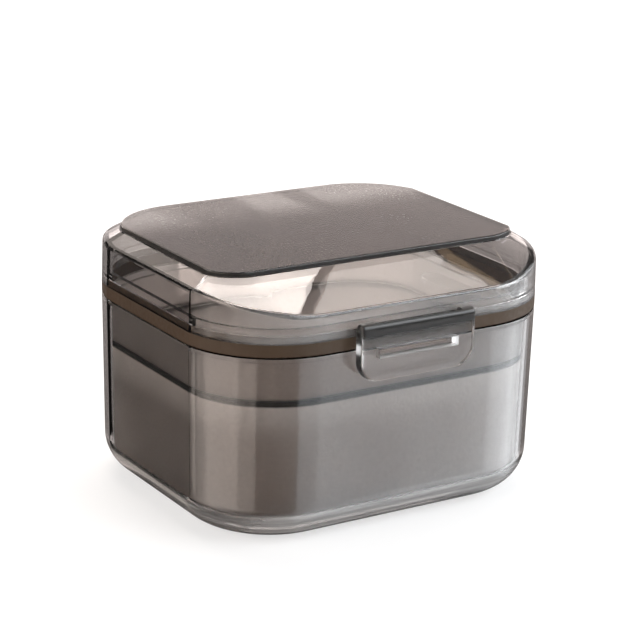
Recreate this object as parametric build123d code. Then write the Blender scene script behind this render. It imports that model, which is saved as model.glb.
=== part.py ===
from build123d import *
import math
import os

# Orthodontic organizer case with a hinged lid, a front latch and a lift-out strainer basket.
# Millimetres, +Z up, front towards -Y, origin on the underside at the middle of the base.

# Outline shared by the shell, the seal and the lid, measured at the parting line
case_length = 96.0
case_depth = 83.0
corner_radius = 24.4
end_flat_cut = 0.28
inner_flat_cut = 0.12

# Heights
shell_height = 46.5
parting_gap = 0.3
seal_height = 3.1
skirt_height_front = 6.4
skirt_height_ends = 10.1
slope_rise_front = 6.5
plateau_rise = 1.3

# Outer shell
shell_draft = 0.9
shell_wall = 1.9
bottom_round = 10.0
base_thickness = 5.0
rim_round = 0.25

# Inner tub
tub_gap = 0.6
tub_wall = 1.2
tub_ledge_width = 0.7
tub_ledge_depth = 12.0
tub_floor = 1.5
tub_round = 3.5
tub_flange_lap = 0.7
tub_flange_thickness = 1.2
seat_gap = 0.05

# Strainer basket
basket_gap = 0.4
basket_wall = 1.2
basket_top_drop = 1.2
basket_seat_gap = 0.3
basket_step = 1.4
basket_foot_gap = 1.2
basket_floor = 1.3
basket_round = 3.0
drain_diameter = 3.2
drain_pitch_x = 6.8
drain_pitch_y = 5.6
drain_margin = 2.6
grip_width = 20.0
grip_reach = 6.0
grip_thickness = 1.4
grip_drop = 2.0

# Seal ring
seal_width = 3.4
seal_tongue_width = 1.0
seal_tongue_inset = 1.3
seal_tongue_height = 1.6
seal_edge_round = 0.3

# Lid
lid_draft = 1.1
lid_flange_lap = 0.1
lid_flange_height = 3.2
lid_wall = 2.6
lid_roof_thickness = 2.4
lid_roof_reach = 1.0
lid_crease_round = 1.2
slope_width_ends = 4.85
slope_width_front = 15.2
slope_width_back = 5.6
plateau_front_corner = 10.6
plateau_back_corner = 20.2
plateau_end_cut = 1.0
plateau_land = 0.4
plateau_edge_round = 0.5
roof_front_corner = 23.4
roof_back_corner = 29.2

# Rear hinge
hinge_radius = 2.6
hinge_wall_gap = 0.4
hinge_rise = 1.5
hinge_pin_diameter = 2.0
hinge_lid_width = 14.0
hinge_side_width = 9.7
hinge_side_gap = 0.3
hinge_web_drop = 10.5
hinge_web_rise = 6.0
pin_running_gap = 0.05
pin_seat_gap = 0.02

# Front latch
latch_width = 32.0
latch_gap = 0.7
latch_thickness = 2.8
latch_barrel_radius = 1.6
latch_barrel_gap = 0.3
latch_pivot_rise = 5.1
latch_reach_down = 7.6
latch_corner = 5.0
latch_slot_width = 22.2
latch_slot_height = 2.3
latch_slot_top = 0.3
latch_front_round = 0.9
latch_back_round = 0.3
latch_end_round = 0.9
latch_pin_diameter = 1.0
lug_width = 24.0
lug_eye_wall = 0.3
lug_web = 1.1
lug_gap = 0.25
latch_swing = 95.0
latch_swing_steps = 6
tooth_width = 20.0
tooth_height = 1.3
tooth_clearance = 0.3

# A cutting solid runs this far past the face that it cuts
overshoot = 1.0

# Two solids that are joined or cut along one face overlap by this much
overlap = 0.01

# Places worked out from the sizes above
half_length = case_length / 2
half_depth = case_depth / 2
seal_bottom = shell_height + parting_gap
lid_bottom = seal_bottom + seal_height
front_crease = lid_bottom + skirt_height_front
end_crease = lid_bottom + skirt_height_ends
slope_top = front_crease + slope_rise_front
lid_top = slope_top + plateau_rise
tub_inset = shell_wall + tub_gap
tub_bottom = base_thickness + tub_gap
cavity_round = tub_round + tub_gap
tub_ledge = shell_height - tub_ledge_depth
tub_inner_inset = tub_inset + tub_wall
tub_lower_inset = tub_inner_inset + tub_ledge_width
collar_inset = tub_inner_inset + basket_gap
basket_inset = collar_inset + basket_step
basket_bottom = tub_bottom + tub_floor + basket_foot_gap
collar_bottom = tub_ledge + basket_seat_gap
basket_top = shell_height - basket_top_drop
lid_flange_wall = seal_width + lid_flange_lap
plateau_length = case_length - 2 * slope_width_ends
plateau_front = half_depth - slope_width_front
plateau_back = half_depth - slope_width_back
hinge_pin_length = hinge_lid_width + 2 * (hinge_side_gap + hinge_side_width)
hinge_y = half_depth + hinge_wall_gap + hinge_radius
hinge_z = seal_bottom + hinge_rise
latch_back = half_depth + latch_gap
latch_front = latch_back + latch_thickness
lug_eye_radius = latch_pin_diameter / 2 + lug_eye_wall
pivot_y = -(half_depth + latch_barrel_gap + latch_barrel_radius)
pivot_z = seal_bottom + latch_pivot_rise


# Closed outline of the case, set in by the given amount: a rounded rectangle whose ends are cut flat
def outline(inset, flat_cut=end_flat_cut):
    full_reach = half_length + end_flat_cut - inset
    full = RectangleRounded(2 * full_reach, 2 * (half_depth - inset), corner_radius - inset)
    return full & Rectangle(2 * (full_reach - flat_cut), 2 * half_depth)


# Amount that a drafted wall has moved in at a height below the rim of the shell
def draft_inset(height):
    return (shell_height - height) * math.tan(math.radians(shell_draft))


# Drafted solid that narrows downwards from a height to a floor, with a rounded bottom edge
def drafted_cup(inset, top, bottom, bottom_radius, flat_cut=end_flat_cut):
    start = inset + draft_inset(top)
    full_reach = half_length + end_flat_cut - start
    plan = RectangleRounded(2 * full_reach, 2 * (half_depth - start), corner_radius - start)
    body = extrude(Pos(0, 0, top) * plan, amount=top - bottom, dir=(0, 0, -1), taper=shell_draft)
    body = fillet(body.faces().sort_by(Axis.Z)[0].edges(), bottom_radius)
    ends = extrude(
        Pos(0, 0, top) * Rectangle(2 * (full_reach - flat_cut), 2 * case_depth),
        amount=top - bottom,
        dir=(0, 0, -1),
        taper=shell_draft,
    )
    return body & ends


# Band of the case outline between two heights, with a rounded lower outer edge
def rounded_band(width, bottom, top, radius):
    plan = RectangleRounded(2 * (half_length + end_flat_cut), 2 * half_depth, corner_radius)
    band = extrude(Pos(0, 0, bottom) * plan, amount=top - bottom)
    band = fillet(band.faces().sort_by(Axis.Z)[0].edges(), radius)
    ends = extrude(Pos(0, 0, bottom) * Rectangle(case_length, 2 * case_depth), amount=top - bottom)
    return (band & ends) - ring_block(width, bottom - overshoot, top + overshoot)


# Straight solid of the case outline between two heights
def ring_block(inset, bottom, top, flat_cut=end_flat_cut):
    return extrude(Pos(0, 0, bottom) * outline(inset, flat_cut), amount=top - bottom)


# Tangent point on a circle seen from an outside point, on the chosen side
def tangent_point(centre, radius, point, side):
    dy = point[0] - centre[0]
    dz = point[1] - centre[1]
    distance = math.hypot(dy, dz)
    angle = math.atan2(dz, dy) + side * math.acos(radius / distance)
    return (centre[0] + radius * math.cos(angle), centre[1] + radius * math.sin(angle))


# Prism along X from a profile in the YZ plane, centred at the given X
def prism_x(points, centre_x, width):
    face = Plane.YZ * make_face(Polyline(*points, close=True))
    return Pos(centre_x, 0, 0) * extrude(face, amount=width / 2, both=True)


# Cylinder along X
def rod_x(radius, width, centre_x, y, z):
    return Pos(centre_x, y, z) * Rot(0, 90, 0) * Cylinder(radius, width)


# Knuckle of the rear hinge with a web that runs up or down the wall
def hinge_knuckle(centre_x, width, web_near, web_far, side):
    centre = (hinge_y, hinge_z)
    root_y = half_depth - shell_wall / 2
    touch = tangent_point(centre, hinge_radius, (root_y, web_far), side)
    web = prism_x([(root_y, web_near), (hinge_y, web_near), touch, (root_y, web_far)], centre_x, width)
    return rod_x(hinge_radius, width, centre_x, hinge_y, hinge_z) + web


def outer_shell():
    body = drafted_cup(0, shell_height, 0, bottom_round)
    rim = shell_height + overlap
    cavity = drafted_cup(shell_wall, rim, base_thickness, cavity_round, inner_flat_cut)
    rebate_inset = shell_wall - tub_flange_lap - seat_gap
    rebate = ring_block(rebate_inset, shell_height - tub_flange_thickness, shell_height + overshoot)
    body = body - cavity - rebate
    body = fillet(body.faces().sort_by(Axis.Z)[-1].outer_wire().edges(), rim_round)
    knuckle_x = hinge_lid_width / 2 + hinge_side_gap + hinge_side_width / 2
    web_top = shell_height - parting_gap
    web_bottom = shell_height - hinge_web_drop
    for side in (-1, 1):
        body += hinge_knuckle(side * knuckle_x, hinge_side_width, web_top, web_bottom, 1)
    bore_radius = hinge_pin_diameter / 2 + pin_seat_gap
    body -= rod_x(bore_radius, hinge_pin_length + 2 * overshoot, 0, hinge_y, hinge_z)
    return body + catch_tooth()


# Tooth on the front wall behind the slot of the latch, with a sloped underside
def catch_tooth():
    tip_y = -(latch_back - tooth_clearance)
    top = seal_bottom + latch_slot_top - (latch_slot_height - tooth_height) / 2 - parting_gap
    root_y = -(half_depth - shell_wall / 2)
    bottom = top - tooth_height
    points = [(root_y, top), (tip_y, top), (tip_y, top - tooth_height / 2), (root_y, bottom - tooth_height)]
    return prism_x(points, 0, tooth_width)


def inner_tub():
    outer = drafted_cup(tub_inset, shell_height, tub_bottom, tub_round)
    flange_inset = shell_wall - tub_flange_lap
    flange = ring_block(flange_inset, shell_height - tub_flange_thickness, shell_height)
    lower = drafted_cup(tub_lower_inset, shell_height, tub_bottom + tub_floor, tub_round - tub_wall)
    upper_inset = tub_inner_inset + draft_inset(tub_ledge)
    upper = ring_block(upper_inset, tub_ledge, shell_height + overshoot)
    return outer + flange - lower - upper


# Places of the drain holes: a square-cornered grid kept inside the flat part of the floor
def drain_places():
    edge_inset = basket_inset + draft_inset(basket_bottom) + basket_round + drain_margin
    reach_x = half_length - edge_inset
    reach_y = half_depth - edge_inset
    corner = corner_radius - edge_inset
    count_x = int(reach_x / drain_pitch_x)
    count_y = int(reach_y / drain_pitch_y)
    places = []
    for i in range(-count_x, count_x + 1):
        for j in range(-count_y, count_y + 1):
            x = i * drain_pitch_x
            y = j * drain_pitch_y
            over_x = abs(x) - (reach_x - corner)
            over_y = abs(y) - (reach_y - corner)
            if over_x > 0 and over_y > 0 and math.hypot(over_x, over_y) > corner:
                continue
            places.append((x, y))
    return places


def strainer_basket():
    collar_outside = collar_inset + draft_inset(tub_ledge)
    step_top = collar_bottom + basket_wall
    floor_top = basket_bottom + basket_floor
    collar = ring_block(collar_outside, collar_bottom, basket_top)
    body = drafted_cup(basket_inset, step_top, basket_bottom, basket_round)
    hollow = drafted_cup(basket_inset + basket_wall, step_top, floor_top, basket_round - basket_wall)
    collar_hollow = ring_block(collar_outside + basket_wall, step_top, basket_top + overshoot)
    basket = collar + body - collar_hollow - hollow
    drains = Sketch(children=[Pos(x, y, 0) * Circle(drain_diameter / 2) for x, y in drain_places()])
    basket -= extrude(Pos(0, 0, basket_bottom - overshoot) * drains, amount=basket_floor + 2 * overshoot)
    for side in (-1, 1):
        basket += finger_grip(side)
    return basket


# Inward tab at one end of the collar, for lifting the basket out with a finger
def finger_grip(side):
    wall_x = half_length - collar_inset - draft_inset(tub_ledge) - basket_wall / 2
    reach = grip_reach + basket_wall / 2
    grip = Box(reach, grip_width, grip_thickness)
    inner = grip.edges().filter_by(Axis.Z).group_by(Axis.X)[0]
    grip = fillet(inner, grip_reach / 2)
    placed = Pos(wall_x - reach / 2, 0, basket_top - grip_drop - grip_thickness / 2) * grip
    if side < 0:
        return Rot(0, 0, 180) * placed
    return placed


def seal_ring():
    band = rounded_band(seal_width, seal_bottom, lid_bottom, seal_edge_round)
    tongue_top = lid_bottom + seal_tongue_height
    tongue = ring_block(seal_tongue_inset, lid_bottom, tongue_top)
    inside = seal_tongue_inset + seal_tongue_width
    tongue -= ring_block(inside, lid_bottom - overshoot, tongue_top + overshoot)
    return band + tongue


# Outline of the raised plateau at a height, grown by the given amounts at its ends, front and back
def plateau_outline(height, ends, front, back, front_corner, back_corner):
    depth = plateau_front + front + plateau_back + back
    plan = Rectangle(plateau_length + 2 * (plateau_end_cut + ends), depth)
    plan = fillet(plan.vertices().group_by(Axis.Y)[0], front_corner)
    plan = fillet(plan.vertices().group_by(Axis.Y)[-1], back_corner)
    plan = plan & Rectangle(plateau_length + 2 * ends, 2 * depth)
    return Pos(0, (plateau_back + back - plateau_front - front) / 2, height) * plan


# Outline of the sloped roof at a level. The roof meets the skirt at that side's crease; it is carried on
# past the crease and past the plateau with the same slopes. The given drop lowers the whole outline.
def roof_outline(level, drop):
    fall = slope_top - level
    share_front = fall / slope_rise_front
    share_ends = fall / (slope_top - end_crease)
    lean_front = skirt_height_front * math.tan(math.radians(lid_draft))
    lean_ends = skirt_height_ends * math.tan(math.radians(lid_draft))
    run_front = plateau_land + share_front * (slope_width_front - plateau_land - lean_front)
    run_ends = plateau_land + share_ends * (slope_width_ends - plateau_land - lean_ends)
    run_back = plateau_land + share_ends * (slope_width_back - plateau_land - lean_ends)
    top_front = plateau_front_corner + plateau_land
    top_back = plateau_back_corner + plateau_land
    front_corner = top_front + share_front * (roof_front_corner - top_front)
    back_corner = top_back + share_front * (roof_back_corner - top_back)
    return plateau_outline(level - drop, run_ends, run_front, run_back, front_corner, back_corner)


# Solid under the sloped roof, from inside the skirt up to the given level
def lid_roof(high_level, drop):
    low = roof_outline(front_crease - overshoot, drop)
    high = roof_outline(high_level, drop)
    depth = front_crease - drop - lid_bottom
    return loft([low, high], ruled=True) + extrude(low, amount=depth, dir=(0, 0, -1))


def lid_shell():
    lean_top = (slope_top - lid_bottom) * math.tan(math.radians(lid_draft))
    skirt = loft([Pos(0, 0, lid_bottom) * outline(0), Pos(0, 0, slope_top) * outline(lean_top)], ruled=True)
    lid = skirt & lid_roof(slope_top, 0)
    creases = [edge for edge in lid.edges() if is_crease(edge)]
    lid = fillet(creases, lid_crease_round)
    plateau = extrude(
        plateau_outline(slope_top - overshoot, 0, 0, 0, plateau_front_corner, plateau_back_corner),
        amount=plateau_rise + overshoot,
    )
    lid += fillet(plateau.faces().sort_by(Axis.Z)[-1].edges(), plateau_edge_round)
    flange_top = lid_bottom + lid_flange_height
    lid -= ring_block(lid_flange_wall, lid_bottom - overshoot, flange_top)
    ceiling = slope_top + lid_roof_reach
    hollow = ring_block(lid_wall, flange_top, ceiling - lid_roof_thickness, inner_flat_cut)
    lid -= hollow & lid_roof(ceiling, lid_roof_thickness)
    lid -= seal_groove()
    lid += hinge_knuckle(0, hinge_lid_width, lid_bottom + parting_gap, lid_bottom + hinge_web_rise, -1)
    hinge_bore = hinge_pin_diameter / 2 + pin_running_gap
    lid -= rod_x(hinge_bore, hinge_lid_width + 2 * overshoot, 0, hinge_y, hinge_z)
    latch_bore = latch_pin_diameter / 2 + pin_seat_gap
    return lid + latch_lug() - rod_x(latch_bore, lug_width + 2 * overshoot, 0, pivot_y, pivot_z)


# True for the edges where the skirt meets the sloped roof
def is_crease(edge):
    box = edge.bounding_box()
    above_skirt = box.min.Z > front_crease - overshoot and box.max.Z < end_crease + overshoot
    return above_skirt and edge.length > lid_crease_round


# Groove in the lower edge of the lid that holds the tongue of the seal
def seal_groove():
    outside = seal_tongue_inset - seat_gap
    inside = seal_tongue_inset + seal_tongue_width + seat_gap
    top = lid_bottom + seal_tongue_height + seat_gap
    core = ring_block(inside, lid_bottom - 2 * overshoot, top + overshoot)
    return ring_block(outside, lid_bottom - overshoot, top) - core


# Long eye on the front of the lid that carries the pin of the latch
def latch_lug():
    eye = rod_x(lug_eye_radius, lug_width, 0, pivot_y, pivot_z)
    root_y = -(half_depth - seal_tongue_inset / 2)
    low = pivot_z - lug_web / 2
    high = pivot_z + lug_web / 2
    web = prism_x([(pivot_y, low), (root_y, low), (root_y, high), (pivot_y, high)], 0, lug_width)
    return eye + web


def latch():
    bottom = seal_bottom - latch_reach_down
    height = pivot_z - bottom
    plate = Box(latch_width, latch_thickness, height)
    low_edges = plate.edges().filter_by(Axis.Y).group_by(Axis.Z)[0]
    plate = fillet(low_edges, latch_corner)
    plate = round_rim(plate, 0, latch_front_round)
    plate = round_rim(plate, -1, latch_back_round)
    plate = Pos(0, -(latch_back + latch_front) / 2, (bottom + pivot_z) / 2) * plate
    barrel = rod_x(latch_barrel_radius, latch_width, 0, pivot_y, pivot_z)
    barrel = fillet(barrel.edges().filter_by(GeomType.CIRCLE), latch_end_round)
    tab = plate + barrel
    slot_z = seal_bottom + latch_slot_top - latch_slot_height / 2
    tab -= Pos(0, -latch_front, slot_z) * Box(latch_slot_width, 4 * latch_thickness, latch_slot_height)
    bore_radius = latch_pin_diameter / 2 + pin_running_gap
    bore = rod_x(bore_radius, latch_width + 2 * overshoot, 0, pivot_y, pivot_z)
    return tab - lug_pocket() - bore


# Plate with the sides and the bottom of its first or last face along Y rounded
def round_rim(plate, which, radius):
    top_edges = plate.faces().sort_by(Axis.Z)[-1].edges()
    rim = plate.faces().sort_by(Axis.Y)[which].edges()
    return fillet([edge for edge in rim if edge not in top_edges], radius)


# Pocket in the barrel that leaves room for the lug over the whole swing of the latch
def lug_pocket():
    width = lug_width + 2 * lug_gap
    pocket = rod_x(lug_eye_radius + lug_gap, width, 0, pivot_y, pivot_z)
    reach = 3 * latch_barrel_radius
    low = -lug_web / 2 - lug_gap
    high = lug_web / 2 + lug_gap
    for step in range(latch_swing_steps + 1):
        turn = latch_swing * step / latch_swing_steps
        bar = prism_x([(0, low), (reach, low), (reach, high), (0, high)], 0, width)
        pocket += Pos(0, pivot_y, pivot_z) * Rot(turn, 0, 0) * bar
    return pocket


def latch_pin():
    return rod_x(latch_pin_diameter / 2, latch_width, 0, pivot_y, pivot_z)


def hinge_pin():
    return rod_x(hinge_pin_diameter / 2, hinge_pin_length, 0, hinge_y, hinge_z)


pieces = {
    "outer_shell": outer_shell,
    "inner_tub": inner_tub,
    "strainer_basket": strainer_basket,
    "seal_ring": seal_ring,
    "lid_shell": lid_shell,
    "latch": latch,
    "latch_pin": latch_pin,
    "hinge_pin": hinge_pin,
}

os.makedirs("parts", exist_ok=True)
for name, make_piece in pieces.items():
    export_step(make_piece(), f"parts/{name}.step")
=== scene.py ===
import math
import bpy
from mathutils import Matrix, Quaternion, Vector

# The orthodontic organizer case in its studio. Metres, +Z up, front towards -Y.
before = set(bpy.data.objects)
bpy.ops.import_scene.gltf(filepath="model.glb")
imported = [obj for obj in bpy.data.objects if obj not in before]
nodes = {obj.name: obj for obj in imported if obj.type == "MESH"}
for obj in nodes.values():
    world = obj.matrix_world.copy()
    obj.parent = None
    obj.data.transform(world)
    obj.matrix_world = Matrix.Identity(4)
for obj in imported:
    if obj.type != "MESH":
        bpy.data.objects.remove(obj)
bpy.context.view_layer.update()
scene = bpy.context.scene
scene.view_settings.view_transform = "Standard"

# Light passes through many clear and frosted walls, one behind the other
CLEAR_BOUNCES = 28
scene.cycles.max_bounces = CLEAR_BOUNCES
scene.cycles.transmission_bounces = CLEAR_BOUNCES

# Camera at the photograph's viewing angle, from its front left and above
CAMERA_PLACE = Vector((-0.28276, -0.44658, 0.20639))
CAMERA_YAW = 0.5659
CAMERA_PITCH = 0.3049
CAMERA_ROLL = 0.0248
CAMERA_FOCAL_MM = 124.84
SENSOR_MM = 36.0


def make_camera():
    data = bpy.data.cameras.new("camera")
    data.lens = CAMERA_FOCAL_MM
    data.sensor_width = SENSOR_MM
    camera = bpy.data.objects.new("camera", data)
    scene.collection.objects.link(camera)
    forward = Vector((
        math.sin(CAMERA_YAW) * math.cos(CAMERA_PITCH),
        math.cos(CAMERA_YAW) * math.cos(CAMERA_PITCH),
        -math.sin(CAMERA_PITCH),
    ))
    level_right = Vector((math.cos(CAMERA_YAW), -math.sin(CAMERA_YAW), 0.0))
    level_up = level_right.cross(forward)
    right = level_right * math.cos(CAMERA_ROLL) + level_up * math.sin(CAMERA_ROLL)
    up = level_up * math.cos(CAMERA_ROLL) - level_right * math.sin(CAMERA_ROLL)
    turn = Matrix((right, up, -forward)).transposed()
    camera.matrix_world = Matrix.Translation(CAMERA_PLACE) @ turn.to_4x4()
    scene.camera = camera


make_camera()

# Ranges that a mask runs over, and ranges of noise that a look picks out
UP = (0.0, 1.0)
DOWN = (1.0, 0.0)
NOISE_WIDE = (0.3, 0.7)
NOISE_MIDDLE = (0.35, 0.65)


# Node tree of a material or of the world, with the steps that the looks are built from
class Shading:
    def __init__(self, tree):
        self.tree = tree

    def add(self, kind):
        return self.tree.nodes.new("ShaderNode" + kind)

    def link(self, source, target):
        self.tree.links.new(source, target)

    # Plain value, colour or vector into a socket, or a link where the value comes from another node
    def feed(self, socket, value):
        if isinstance(value, bpy.types.NodeSocket):
            self.link(value, socket)
        else:
            socket.default_value = value

    def math(self, operation, first, second=0.0):
        node = self.add("Math")
        node.operation = operation
        self.feed(node.inputs[0], first)
        self.feed(node.inputs[1], second)
        return node.outputs[0]

    def product(self, first, *others):
        for other in others:
            first = self.math("MULTIPLY", first, other)
        return first

    def vector_math(self, operation, first, second=None):
        node = self.add("VectorMath")
        node.operation = operation
        self.feed(node.inputs[0], first)
        if second is not None:
            self.feed(node.inputs[1], second)
        return node

    # A value carried from one range to another, kept inside the new range
    def spread(self, source, old, new, smooth=False):
        node = self.add("MapRange")
        node.interpolation_type = "SMOOTHSTEP" if smooth else "LINEAR"
        node.inputs["From Min"].default_value = old[0]
        node.inputs["From Max"].default_value = old[1]
        node.inputs["To Min"].default_value = new[0]
        node.inputs["To Max"].default_value = new[1]
        self.link(source, node.inputs["Value"])
        return node.outputs[0]

    def part(self, vector, axis):
        split = self.add("SeparateXYZ")
        self.link(vector, split.inputs[0])
        return split.outputs[axis]

    def mix_colour(self, share, first, second):
        node = self.add("Mix")
        node.data_type = "RGBA"
        self.link(share, node.inputs["Factor"])
        for socket, value in ((node.inputs[6], first), (node.inputs[7], second)):
            self.feed(socket, (*value, 1) if isinstance(value, tuple) else value)
        return node.outputs[2]


# Stage: a wide pale floor, matte for the camera and half polished in reflections
FLOOR_DROP = 0.0004
FLOOR_SIZE = 6.0
FLOOR_COLOUR = 0.35
FLOOR_GLOW = 0.62
FLOOR_POLISH = 0.5
FLOOR_POLISH_ROUGHNESS = 0.18


def floor_material():
    material = bpy.data.materials.new("floor")
    material.use_nodes = True
    shading = Shading(material.node_tree)
    shading.tree.nodes.clear()
    path = shading.add("LightPath").outputs
    matte = shading.add("BsdfDiffuse")
    matte.inputs["Color"].default_value = (FLOOR_COLOUR, FLOOR_COLOUR, FLOOR_COLOUR, 1)
    glow = shading.add("Emission")
    clear_path = shading.math("MAXIMUM", path["Is Camera Ray"], path["Is Transmission Ray"])
    shading.link(shading.product(clear_path, FLOOR_GLOW), glow.inputs["Strength"])
    lit = shading.add("AddShader")
    shading.link(matte.outputs[0], lit.inputs[0])
    shading.link(glow.outputs[0], lit.inputs[1])
    polish = shading.add("BsdfAnisotropic")
    polish.inputs["Roughness"].default_value = FLOOR_POLISH_ROUGHNESS
    polish.inputs["Color"].default_value = (FLOOR_POLISH, FLOOR_POLISH, FLOOR_POLISH, 1)
    mix = shading.add("MixShader")
    shading.link(path["Is Glossy Ray"], mix.inputs[0])
    shading.link(lit.outputs[0], mix.inputs[1])
    shading.link(polish.outputs[0], mix.inputs[2])
    output = shading.add("OutputMaterial")
    shading.link(mix.outputs[0], output.inputs["Surface"])
    return material


def make_floor():
    bpy.ops.mesh.primitive_plane_add(size=FLOOR_SIZE, location=(0, 0, -FLOOR_DROP))
    floor = bpy.context.object
    floor.name = "floor"
    floor.data.materials.append(floor_material())


make_floor()

# World: a white backdrop behind the case and a dim room round it. Reflections see the backdrop bright
# near the horizon and dim above it.
BACKDROP_AZIMUTH = math.radians(37.0)
BACKDROP_HALF_WIDTH = math.radians(43.0)
BACKDROP_FADE = math.radians(8.0)
ROOM_LEVEL = 0.18
BACKDROP_LEVEL = 1.0
BACKDROP_REFLECTION = (1.0, 0.89, 0.86)
HORIZON_LOW = math.radians(12.5)
HORIZON_HIGH = math.radians(17.0)
HORIZON_LEVEL = 1.35
UPPER_LEVEL = 0.25


# Brightness of the world by heading: the backdrop with soft sides, and the room
def backdrop_level(shading, place):
    level_place = shading.vector_math("MULTIPLY", place, (1, 1, 0)).outputs[0]
    heading = shading.vector_math("NORMALIZE", level_place).outputs[0]
    middle = (math.sin(BACKDROP_AZIMUTH), math.cos(BACKDROP_AZIMUTH), 0)
    facing = shading.vector_math("DOT_PRODUCT", heading, middle).outputs["Value"]
    edge = (math.cos(BACKDROP_HALF_WIDTH + BACKDROP_FADE), math.cos(BACKDROP_HALF_WIDTH))
    return shading.spread(facing, edge, (ROOM_LEVEL, BACKDROP_LEVEL), smooth=True)


def make_world():
    world = bpy.data.worlds.new("world")
    scene.world = world
    world.use_nodes = True
    shading = Shading(world.node_tree)
    background = shading.tree.nodes["Background"]
    place = shading.add("TexCoord").outputs["Generated"]
    path = shading.add("LightPath").outputs
    seen = shading.math("MAXIMUM", path["Is Camera Ray"], backdrop_level(shading, place))
    shading.link(seen, background.inputs["Strength"])
    horizon = (math.sin(HORIZON_LOW), math.sin(HORIZON_HIGH))
    level = shading.spread(shading.part(place, "Z"), horizon, (HORIZON_LEVEL, UPPER_LEVEL), smooth=True)
    reflected = shading.vector_math("SCALE", BACKDROP_REFLECTION)
    shading.link(level, reflected.inputs["Scale"])
    tint = shading.mix_colour(path["Is Glossy Ray"], (1, 1, 1), reflected.outputs[0])
    shading.link(tint, background.inputs["Color"])


make_world()


# Area lamp of a width, height and brightness that stands at a place and faces a target, turned about its
# own axis
def make_softbox(name, place, target, size, brightness, colour, turn=0.0):
    data = bpy.data.lights.new(name, "AREA")
    data.shape = "RECTANGLE"
    data.size = size[0]
    data.size_y = size[1]
    data.energy = brightness * math.pi * size[0] * size[1]
    data.color = colour
    lamp = bpy.data.objects.new(name, data)
    scene.collection.objects.link(lamp)
    lamp.location = place
    aim = Vector(target) - Vector(place)
    lamp.rotation_mode = "QUATERNION"
    lamp.rotation_quaternion = aim.to_track_quat("-Z", "Y") @ Quaternion((0, 0, 1), turn)
    lamp.visible_camera = False
    return lamp


# Upright softboxes in a ring round the case, raised so that the lid's top doesn't mirror them when it is
# seen at a low angle
UPRIGHT_DISTANCE = 0.9
UPRIGHT_HEIGHT = 0.475
UPRIGHT_TALL = 0.51
WARM = (1.0, 0.88, 0.80)
COOL = (0.93, 0.965, 1.0)


# Upright softbox between two headings from the front towards the right, in degrees
def make_upright(name, start, end, brightness, colour):
    turn = math.radians((start + end) / 2)
    place = (UPRIGHT_DISTANCE * math.sin(turn), -UPRIGHT_DISTANCE * math.cos(turn), UPRIGHT_HEIGHT)
    width = 2 * UPRIGHT_DISTANCE * math.tan(math.radians(end - start) / 2)
    make_softbox(name, place, (0, 0, UPRIGHT_HEIGHT), (width, UPRIGHT_TALL), brightness, colour)


make_upright("gap_box", -46, 2, 0.4, WARM)
make_upright("front_box", 2, 23, 2.5, COOL)
make_upright("front_middle_box", 23, 37, 3.7, COOL)
make_upright("front_right_box", 37, 78, 7.2, COOL)
make_upright("right_box", 78, 94, 3.6, COOL)
make_upright("right_outer_box", 94, 106, 1.6, COOL)
make_upright("left_inner_box", -66, -46, 2.6, WARM)
make_upright("left_box", -108, -66, 4.6, WARM)
make_upright("left_outer_box", -124, -108, 2.2, WARM)

# Raised softboxes aimed at the case: one draws a bright line along the front crease of the lid, and one
# behind the case brightens the left slope, in reflections only
RAISED_TARGET = (0, 0, 0.05)
FRONT_HIGH_PLACE = (0.45, -0.78, 1.0)
FRONT_HIGH_SIZE = (0.7, 0.5)
BACK_HIGH_PLACE = (-0.08, 0.8, 0.56)
BACK_HIGH_SIZE = (0.5, 0.22)
FRONT_HIGH_BRIGHTNESS = 4.0
BACK_HIGH_BRIGHTNESS = 1.6


def make_raised(name, place, size, brightness, colour):
    return make_softbox(name, place, RAISED_TARGET, size, brightness, colour)


make_raised("front_high_box", FRONT_HIGH_PLACE, FRONT_HIGH_SIZE, FRONT_HIGH_BRIGHTNESS, COOL)
back_high_box = make_raised("back_high_box", BACK_HIGH_PLACE, BACK_HIGH_SIZE, BACK_HIGH_BRIGHTNESS, WARM)
back_high_box.visible_transmission = False

# Overhead softboxes, turned together about the corner that they share: a wide one to the left, a small
# one to the right with a dark gap between, and a thin warm strip along the small one's far edge
OVERHEAD_HEIGHT = 1.0
OVERHEAD_CORNER = Vector((0.655, 0.422, OVERHEAD_HEIGHT))
OVERHEAD_TURN = math.radians(-43.8)
OVERHEAD_ACROSS = Vector((math.cos(OVERHEAD_TURN), math.sin(OVERHEAD_TURN), 0))
OVERHEAD_ALONG = Vector((-math.sin(OVERHEAD_TURN), math.cos(OVERHEAD_TURN), 0))
OVERHEAD_COLOUR = (1.0, 0.91, 0.85)
RIM_STRIP_COLOUR = (1.0, 0.7, 0.42)


# Overhead softbox between two distances across and two distances along from the corner
def make_overhead(name, across, along, brightness, colour):
    middle = OVERHEAD_CORNER + OVERHEAD_ACROSS * sum(across) / 2 + OVERHEAD_ALONG * sum(along) / 2
    below = middle - Vector((0, 0, 1))
    size = (across[1] - across[0], along[1] - along[0])
    make_softbox(name, middle, below, size, brightness, colour, OVERHEAD_TURN)


make_overhead("overhead_left_box", (-0.82, -0.009), (-0.57, 0.0), 8.0, OVERHEAD_COLOUR)
make_overhead("overhead_right_box", (0.0, 0.3), (-0.25, 0.0), 3.1, OVERHEAD_COLOUR)
make_overhead("overhead_rim", (0.0, 0.3), (0.002, 0.009), 1.0, RIM_STRIP_COLOUR)

PLASTIC_IOR = 1.49


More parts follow.
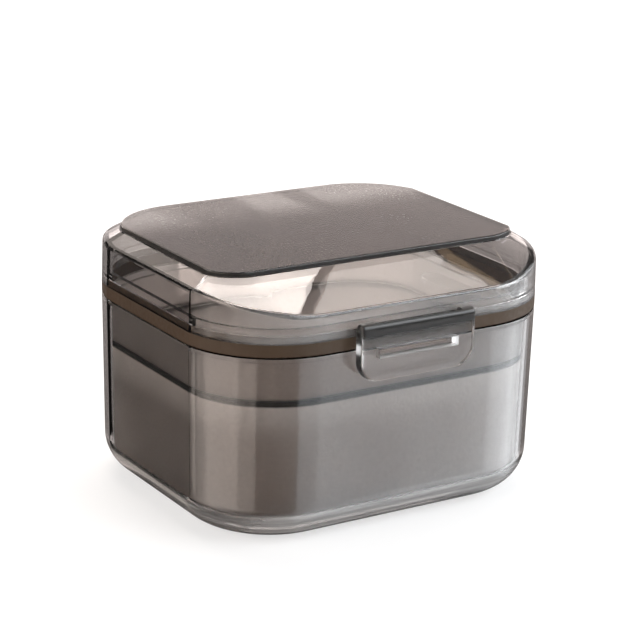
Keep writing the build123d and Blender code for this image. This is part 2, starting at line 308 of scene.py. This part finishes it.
# Node material in the object's own coordinates, with its Principled shader at hand
class Finish(Shading):
    def __init__(self, name, colour, roughness, transmission=0.0, metallic=0.0):
        self.material = bpy.data.materials.new(name)
        self.material.use_nodes = True
        super().__init__(self.material.node_tree)
        self.shader = self.tree.nodes["Principled BSDF"]
        self.shader.inputs["Base Color"].default_value = (*colour, 1)
        self.shader.inputs["Roughness"].default_value = roughness
        self.shader.inputs["Transmission Weight"].default_value = transmission
        self.shader.inputs["IOR"].default_value = PLASTIC_IOR
        self.shader.inputs["Metallic"].default_value = metallic
        coordinates = self.add("TexCoord")
        self.place = coordinates.outputs["Object"]
        self.normal = coordinates.outputs["Normal"]
        self.height = self.part(self.place, "Z")

    def set(self, socket, source):
        self.link(source, self.shader.inputs[socket])

    # What feeds a socket of the shader so far
    def source(self, socket):
        return self.shader.inputs[socket].links[0].from_socket

    def absorb(self, colour, density):
        volume = self.add("VolumeAbsorption")
        volume.inputs["Color"].default_value = (*colour, 1)
        volume.inputs["Density"].default_value = density
        self.link(volume.outputs[0], self.tree.nodes["Material Output"].inputs["Volume"])

    # Noise with the given number of cells per metre along each axis
    def noise(self, cells, detail, distortion=0.0):
        stretch = self.add("Mapping")
        stretch.inputs["Scale"].default_value = cells
        self.link(self.place, stretch.inputs["Vector"])
        noise = self.add("TexNoise")
        noise.inputs["Scale"].default_value = 1.0
        noise.inputs["Detail"].default_value = detail
        noise.inputs["Distortion"].default_value = distortion
        self.link(stretch.outputs[0], noise.inputs["Vector"])
        return noise.outputs["Fac"]

    # Noise with the same number of cells per metre along every axis
    def even_noise(self, cells, detail):
        return self.noise((cells, cells, cells), detail)

    # How squarely the surface faces along an axis, to either side, from 0 to 1
    def squareness(self, axis):
        return self.math("ABSOLUTE", self.part(self.normal, axis))

    # How far the surface of the solid faces up, from -1 to 1, seen from inside or outside
    def upward(self):
        inside = self.add("NewGeometry").outputs["Backfacing"]
        side = self.spread(inside, UP, (1.0, -1.0))
        return self.product(self.part(self.normal, "Z"), side)

    def bump(self, source, depth, strength, under=None):
        node = self.add("Bump")
        node.inputs["Distance"].default_value = depth
        self.feed(node.inputs["Strength"], strength)
        self.link(source, node.inputs["Height"])
        if under is not None:
            self.link(under, node.inputs["Normal"])
        return node.outputs[0]


CLEAR_COLOUR = (0.97, 0.965, 0.96)
WAVE_CELLS = (60, 60, 12)
WAVE_DEPTH = 0.0002
WAVE_STRENGTH = 0.15
RUB_CELLS = (2500, 2500, 120)
RUB_MARKS = (0.5, 0.8)
RUB_HAZE = 0.03


# Clear moulded plastic: faint waves from the mould and a little haze in fine upright rub marks
def clear_plastic(name, absorption, density):
    finish = Finish(name, CLEAR_COLOUR, 0.0, 1.0)
    finish.absorb(absorption, density)
    waves = finish.noise(WAVE_CELLS, 1.0)
    rub = finish.noise(RUB_CELLS, 1.0)
    finish.set("Roughness", finish.spread(rub, RUB_MARKS, (0.0, RUB_HAZE)))
    finish.set("Normal", finish.bump(waves, WAVE_DEPTH, WAVE_STRENGTH))
    return finish


GRAIN_CELLS = 1000
GRAIN_DEPTH = 0.0002
GRAIN_STRENGTH = 0.5
GRAIN_RANGE = (0.35, 0.7)
GRAIN_SHARE = (0.2, 1.0)
CLOUD_CELLS = 70
CLOUD_SHARE = (0.6, 1.0)
FROST_VARIATION = 0.04


# Frosted plastic: fine even grain over the colour, the roughness and the surface
def frosted_plastic(name, light, dark, roughness):
    finish = Finish(name, light, roughness, 1.0)
    grain = finish.even_noise(GRAIN_CELLS, 2.0)
    cloud = finish.even_noise(CLOUD_CELLS, 3.0)
    grain_share = finish.spread(grain, GRAIN_RANGE, GRAIN_SHARE)
    cloud_share = finish.spread(cloud, NOISE_WIDE, CLOUD_SHARE)
    share = finish.product(grain_share, cloud_share)
    finish.set("Base Color", finish.mix_colour(share, light, dark))
    rough = (roughness - FROST_VARIATION, roughness + FROST_VARIATION)
    finish.set("Roughness", finish.spread(cloud, NOISE_WIDE, rough))
    finish.set("Normal", finish.bump(grain, GRAIN_DEPTH, GRAIN_STRENGTH))
    return finish


# The shell: heights of its cavity floor, its underside and the hazy lower rim
SHELL_ABSORPTION = (0.6, 0.59, 0.57)
SHELL_DENSITY = 4.0
CAVITY_FLOOR_HIGH = 0.0095
CAVITY_FLOOR_FADE = 0.001
CAVITY_FACING = (0.02, 0.2)
CAVITY_FROST = 0.03
UNDERSIDE_HIGH = 0.0002
UNDERSIDE_FADE = 0.0001
UNDERSIDE_FROST = 0.12
RIM_HIGH = 0.0085
RIM_FADE = 0.0015
RIM_HAZE = 0.5
RIM_FACING = (0.0, 0.1)
RIM_STREAK_CELLS = (25, 25, 700)
RIM_STREAK_SHARE = (0.5, 1.0)
RIM_END_FACING = (0.3, 0.8)
RIM_END_SHARE = (1.0, 0.35)


# Light etching of the cavity floor and the underside, which spreads the light in the thick base
def shell_etching(finish):
    floor_edge = (CAVITY_FLOOR_HIGH - CAVITY_FLOOR_FADE, CAVITY_FLOOR_HIGH)
    low = finish.spread(finish.height, floor_edge, DOWN, smooth=True)
    upward = finish.spread(finish.upward(), CAVITY_FACING, (0.0, CAVITY_FROST))
    underside_edge = (UNDERSIDE_HIGH - UNDERSIDE_FADE, UNDERSIDE_HIGH)
    underside = finish.spread(finish.height, underside_edge, (UNDERSIDE_FROST, 0.0))
    return finish.math("MAXIMUM", finish.product(low, upward), underside)


# Streaky haze on the outside of the thick base, weaker at the two ends of the case
def shell_haze(finish):
    rim = finish.spread(finish.height, (RIM_HIGH - RIM_FADE, RIM_HIGH), DOWN, smooth=True)
    outward = finish.spread(finish.upward(), RIM_FACING, DOWN)
    streaks = finish.spread(finish.noise(RIM_STREAK_CELLS, 2.0), NOISE_MIDDLE, RIM_STREAK_SHARE)
    ends = finish.spread(finish.squareness("X"), RIM_END_FACING, RIM_END_SHARE, smooth=True)
    return finish.product(finish.product(rim, outward), finish.product(streaks, ends))


# Clear shell with a slightly etched and hazy base
def shell_plastic():
    finish = clear_plastic("shell_clear", SHELL_ABSORPTION, SHELL_DENSITY)
    finish.set("Roughness", finish.math("ADD", finish.source("Roughness"), shell_etching(finish)))
    clearness = finish.spread(shell_haze(finish), UP, (1.0, 1.0 - RIM_HAZE))
    finish.set("Transmission Weight", clearness)
    return finish


# The lid: its slope ends at SLOPE_TOP, and above it stands the plateau with its upright side
LID_ABSORPTION = (0.52, 0.50, 0.48)
LID_DENSITY = 42.0
SLOPE_TOP = 0.0628
PLATEAU_LOW = SLOPE_TOP + 0.0004
PLATEAU_FADE = 0.0003
PLATEAU_SIDE_HIGH = 0.0637
PLATEAU_SIDE_COLOUR = (0.05, 0.042, 0.038)
PLATEAU_SIDE_ROUGHNESS = 0.5
PLATEAU_BUMP = 0.18
PLATEAU_GRAIN_CELLS = 1500
PLATEAU_CLOUD_CELLS = 28
PLATEAU_FINE_FROST = 0.05
PLATEAU_CLOUD_FROST = (0.18, 0.25)
SMOKE_DARK = (0.075, 0.055, 0.048)
SMOKE_LIGHT = (0.17, 0.125, 0.11)
# Painted sheen: lighter colours and a milky share along the back of the plateau, broken by soft darker
# bars
PAINTED_SHEEN_DARK = (0.32, 0.295, 0.285)
PAINTED_SHEEN_LIGHT = (0.52, 0.485, 0.465)
PAINTED_SHEEN_SPAN = (0.007, 0.027)
PAINTED_SHEEN_MILK = 0.34
PAINTED_SHEEN_SPECKLE = (0.8, 1.2)
PAINTED_SHEEN_BAR_CELLS = (55, 8, 8)
PAINTED_SHEEN_BAR_RANGE = (0.38, 0.5)
PAINTED_SHEEN_BAR_SHARE = (0.5, 1.0)
SKIRT_FACING = (0.5, 0.9)
SKIRT_MILK = 0.15
SKIRT_STREAK_LOW = 0.4 * SKIRT_MILK
SKIRT_STREAK_CELLS = (30, 30, 500)


# Painted sheen on the plateau: a lighter speckled band along its back edge, with soft darker bars across
# it
def painted_sheen_band(finish, grain):
    back = finish.spread(finish.part(finish.place, "Y"), PAINTED_SHEEN_SPAN, UP, smooth=True)
    bar_noise = finish.noise(PAINTED_SHEEN_BAR_CELLS, 1.0)
    bars = finish.spread(bar_noise, PAINTED_SHEEN_BAR_RANGE, PAINTED_SHEEN_BAR_SHARE, smooth=True)
    return finish.product(back, bars, finish.spread(grain, NOISE_WIDE, PAINTED_SHEEN_SPECKLE))


# Milky share of the lid: the painted sheen band, and streaks on the flat front and back of the skirt
def lid_milk(finish, top, painted_sheen):
    band = finish.product(top, painted_sheen, PAINTED_SHEEN_MILK)
    flat = finish.spread(finish.squareness("Y"), SKIRT_FACING, UP, smooth=True)
    low = finish.spread(finish.height, (SLOPE_TOP - PLATEAU_FADE, SLOPE_TOP), DOWN)
    streak_levels = (SKIRT_STREAK_LOW, SKIRT_MILK)
    streaks = finish.spread(finish.noise(SKIRT_STREAK_CELLS, 2.0), NOISE_MIDDLE, streak_levels)
    return finish.math("MAXIMUM", band, finish.product(flat, low, streaks))


# Smoky speckled colour of the plateau with a painted sheen along its back, and dark colour of its side,
# over the clear rest of the lid
def lid_colour(finish, top, side, grain, painted_sheen):
    speck = finish.spread(grain, NOISE_MIDDLE, UP)
    darker = finish.mix_colour(painted_sheen, SMOKE_DARK, PAINTED_SHEEN_DARK)
    lighter = finish.mix_colour(painted_sheen, SMOKE_LIGHT, PAINTED_SHEEN_LIGHT)
    smoke = finish.mix_colour(speck, darker, lighter)
    frosted = finish.mix_colour(top, CLEAR_COLOUR, smoke)
    return finish.mix_colour(side, frosted, PLATEAU_SIDE_COLOUR)


# Roughness of the plateau, with fine grain and slow clouds, and of its side
def lid_frost(finish, top, side, grain):
    fine = finish.spread(grain, NOISE_WIDE, (-PLATEAU_FINE_FROST, PLATEAU_FINE_FROST))
    cloud_noise = finish.even_noise(PLATEAU_CLOUD_CELLS, 2.0)
    cloud = finish.spread(cloud_noise, NOISE_MIDDLE, PLATEAU_CLOUD_FROST)
    frost = finish.product(top, finish.math("ADD", fine, cloud))
    return finish.math("MAXIMUM", frost, finish.product(side, PLATEAU_SIDE_ROUGHNESS))


# Clear lid whose raised top is frosted, with a painted sheen along its back edge
def lid_plastic():
    finish = clear_plastic("lid_smoke", LID_ABSORPTION, LID_DENSITY)
    grain = finish.even_noise(PLATEAU_GRAIN_CELLS, 2.0)
    top = finish.spread(finish.height, (PLATEAU_LOW, PLATEAU_LOW + PLATEAU_FADE), UP, smooth=True)
    above_slope = finish.spread(finish.height, (SLOPE_TOP, SLOPE_TOP + PLATEAU_FADE), UP, smooth=True)
    side_end = (PLATEAU_SIDE_HIGH, PLATEAU_SIDE_HIGH + PLATEAU_FADE)
    side = finish.product(above_slope, finish.spread(finish.height, side_end, DOWN, smooth=True))
    painted_sheen = painted_sheen_band(finish, grain)
    milk = lid_milk(finish, top, painted_sheen)
    finish.set("Transmission Weight", finish.math("SUBTRACT", 1.0, milk))
    finish.set("Base Color", lid_colour(finish, top, side, grain, painted_sheen))
    frost = lid_frost(finish, top, side, grain)
    finish.set("Roughness", finish.math("ADD", finish.source("Roughness"), frost))
    strength = finish.product(top, PLATEAU_BUMP)
    finish.set("Normal", finish.bump(grain, GRAIN_DEPTH, strength, finish.source("Normal")))
    return finish


# The latch: painted shade on its barrel starts at one height and is full at the next, and faces that look
# up get painted shade too
LATCH_ABSORPTION = (0.6, 0.57, 0.54)
LATCH_DENSITY = 20.0
LATCH_COLOUR = (0.9, 0.88, 0.87)
LATCH_FACE_FACING = (0.3, 0.8)
LATCH_EDGE_ROUGHNESS = 0.32
LATCH_BARREL_LOW = 0.0488
LATCH_BARREL_HIGH = 0.0508
LATCH_BARREL_SHADE_COLOUR = (0.05, 0.044, 0.04)
LATCH_BARREL_ROUGHNESS = 0.3
LATCH_LEDGE_FACING = (0.6, 0.9)
LATCH_LEDGE_SHADE_COLOUR = (0.22, 0.21, 0.2)


# Clear latch with satin edges, painted shade on its barrel and painted shade on faces where it looks up
def latch_plastic():
    finish = clear_plastic("latch_clear", LATCH_ABSORPTION, LATCH_DENSITY)
    edge_roughness = (LATCH_EDGE_ROUGHNESS, 0.0)
    edges = finish.spread(finish.squareness("Y"), LATCH_FACE_FACING, edge_roughness, smooth=True)
    barrel = finish.spread(finish.height, (LATCH_BARREL_LOW, LATCH_BARREL_HIGH), UP, smooth=True)
    satin = finish.math("MAXIMUM", edges, finish.product(barrel, LATCH_BARREL_ROUGHNESS))
    finish.set("Roughness", finish.math("ADD", finish.source("Roughness"), satin))
    # Painted shade: dark colour on the barrel, then darker colour on faces that look up
    colour = finish.mix_colour(barrel, LATCH_COLOUR, LATCH_BARREL_SHADE_COLOUR)
    ledge = finish.spread(finish.part(finish.normal, "Z"), LATCH_LEDGE_FACING, UP, smooth=True)
    finish.set("Base Color", finish.mix_colour(ledge, colour, LATCH_LEDGE_SHADE_COLOUR))
    return finish


SEAL_LIGHT = (0.062, 0.036, 0.018)
SEAL_DARK = (0.044, 0.026, 0.013)
SEAL_GRAIN_CELLS = 900
SEAL_CLOUD_CELLS = 60
SEAL_ROUGHNESS = (0.42, 0.6)
SEAL_GRAIN_DEPTH = 0.0001
SEAL_GRAIN_STRENGTH = 0.3


# Brown silicone: dull, with soft clouds of colour and a fine grain
def silicone():
    finish = Finish("seal_silicone", SEAL_LIGHT, SEAL_ROUGHNESS[0])
    grain = finish.even_noise(SEAL_GRAIN_CELLS, 3.0)
    cloud = finish.spread(finish.even_noise(SEAL_CLOUD_CELLS, 2.0), NOISE_WIDE, UP)
    finish.set("Base Color", finish.mix_colour(cloud, SEAL_LIGHT, SEAL_DARK))
    finish.set("Roughness", finish.spread(grain, NOISE_WIDE, SEAL_ROUGHNESS))
    finish.set("Normal", finish.bump(grain, SEAL_GRAIN_DEPTH, SEAL_GRAIN_STRENGTH))
    return finish


STEEL_LIGHT = (0.66, 0.655, 0.65)
STEEL_DARK = (0.5, 0.495, 0.49)
STEEL_ROUGHNESS = (0.18, 0.36)
WIRE_LINE_CELLS = (60, 4000, 4000)
WIRE_LINE_DEPTH = 0.00005
WIRE_LINE_STRENGTH = 0.2


# Drawn wire: fine lines along the pin
def drawn_steel():
    finish = Finish("drawn_steel", STEEL_LIGHT, STEEL_ROUGHNESS[0], metallic=1.0)
    lines = finish.noise(WIRE_LINE_CELLS, 2.0)
    share = finish.spread(lines, NOISE_WIDE, UP)
    finish.set("Base Color", finish.mix_colour(share, STEEL_LIGHT, STEEL_DARK))
    finish.set("Roughness", finish.spread(lines, NOISE_WIDE, STEEL_ROUGHNESS))
    finish.set("Normal", finish.bump(lines, WIRE_LINE_DEPTH, WIRE_LINE_STRENGTH))
    return finish


# The tub: a painted shadow band where the basket's collar rests on its ledge, a painted glow below it and
# painted shade above it and towards the bottom
TUB_LIGHT = (0.99, 0.945, 0.915)
TUB_DARK = (0.84, 0.80, 0.77)
TUB_ROUGHNESS = 0.42
STEP_LOW = 0.0342
STEP_HIGH = 0.0359
STEP_FADE = 0.00025
STEP_SHADOW_COLOUR = (0.0004, 0.0004, 0.0004)
STEP_ROUGHNESS = 0.85
GLOW_DEPTH = 0.009
GLOW_MILK = 0.27
PATCH_MILK = 0.12
PATCH_CELLS = (26, 26, 20)
PATCH_DISTORTION = 0.6
PATCH_RANGE = (0.45, 0.7)
SHADE_COLOUR = (0.40, 0.37, 0.35)
SHADE_ABOVE = 0.22
SHADE_DEEP = 0.12


# Milky share of the tub below the step: a painted glow just under it and soft patches
def tub_milk(finish, below):
    glow_range = (STEP_LOW - GLOW_DEPTH, STEP_LOW - STEP_FADE)
    glow = finish.spread(finish.height, glow_range, UP, smooth=True)
    patch_noise = finish.noise(PATCH_CELLS, 1.0, PATCH_DISTORTION)
    patches = finish.spread(patch_noise, PATCH_RANGE, (0.0, PATCH_MILK), smooth=True)
    return finish.math("ADD", finish.product(glow, below, GLOW_MILK), finish.product(patches, below))


# Frosted tub with a painted shadow band at its ledge, painted shade above the step and towards the
# bottom, and a painted glow below the step
def tub_plastic():
    finish = frosted_plastic("tub_frosted", TUB_LIGHT, TUB_DARK, TUB_ROUGHNESS)
    rise = finish.spread(finish.height, (STEP_LOW - STEP_FADE, STEP_LOW + STEP_FADE), UP, smooth=True)
    fall = finish.spread(finish.height, (STEP_HIGH - STEP_FADE, STEP_HIGH + STEP_FADE), DOWN, smooth=True)
    band = finish.product(rise, fall)
    below = finish.math("SUBTRACT", 1.0, rise)
    finish.set("Transmission Weight", finish.math("SUBTRACT", 1.0, tub_milk(finish, below)))
    # Painted shade above the step and towards the bottom, and a near-black painted shadow band at the
    # ledge
    deep = finish.spread(finish.height, (STEP_LOW - GLOW_DEPTH, STEP_LOW), (SHADE_DEEP, 0.0), smooth=True)
    shade = finish.math("MAXIMUM", deep, finish.product(rise, SHADE_ABOVE))
    shaded = finish.mix_colour(shade, finish.source("Base Color"), SHADE_COLOUR)
    finish.set("Base Color", finish.mix_colour(band, shaded, STEP_SHADOW_COLOUR))
    band_rough = finish.product(band, STEP_ROUGHNESS)
    finish.set("Roughness", finish.math("MAXIMUM", finish.source("Roughness"), band_rough))
    return finish


BASKET_LIGHT = (0.96, 0.92, 0.895)
BASKET_DARK = (0.90, 0.86, 0.835)
BASKET_ROUGHNESS = 0.38


def dress(name, finish):
    for slot in nodes[name].material_slots:
        slot.material = finish.material


dress("outer_shell", shell_plastic())
dress("lid_shell", lid_plastic())
dress("latch", latch_plastic())
dress("inner_tub", tub_plastic())
dress("strainer_basket", frosted_plastic("basket_frosted", BASKET_LIGHT, BASKET_DARK, BASKET_ROUGHNESS))
dress("seal_ring", silicone())
dress("latch_pin", drawn_steel())
dress("hinge_pin", drawn_steel())
